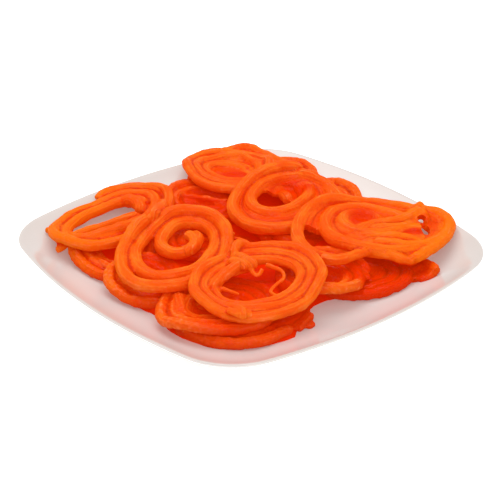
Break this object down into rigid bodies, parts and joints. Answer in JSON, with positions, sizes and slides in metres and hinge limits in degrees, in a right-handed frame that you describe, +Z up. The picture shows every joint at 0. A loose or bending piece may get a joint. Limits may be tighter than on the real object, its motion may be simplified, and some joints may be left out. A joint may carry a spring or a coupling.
{
  "type": "plate of jalebi",
  "caption": "Rounded square white plate heaped with loosely coiled orange fried batter sweets, resting on its foot.",
  "frame": {"origin": "on the table under the plate's centre, at the level its foot rests on", "axes": "+Z up, X and Y along the plate's sides; the heap faces a viewer who stands off the corner between +X and -Y"},
  "size_m": [0.254, 0.254, 0.0406],
  "materials": {
    "glazed_white": "gloss",
    "fried_batter": "gloss"
  },
  "bodies": {
    "root": {"plate": "glazed_white", "base_front": "fried_batter", "base_left": "fried_batter", "base_right": "fried_batter", "base_middle": "fried_batter", "base_back_left": "fried_batter", "base_back_right": "fried_batter", "base_back": "fried_batter", "low_left": "fried_batter", "low_front": "fried_batter", "low_right": "fried_batter", "low_middle": "fried_batter", "low_small": "fried_batter", "low_back": "fried_batter", "top_back": "fried_batter", "top_left": "fried_batter", "top_left_front": "fried_batter", "top_front": "fried_batter", "top_middle": "fried_batter", "top_right": "fried_batter"}
  },
  "joints": []
}
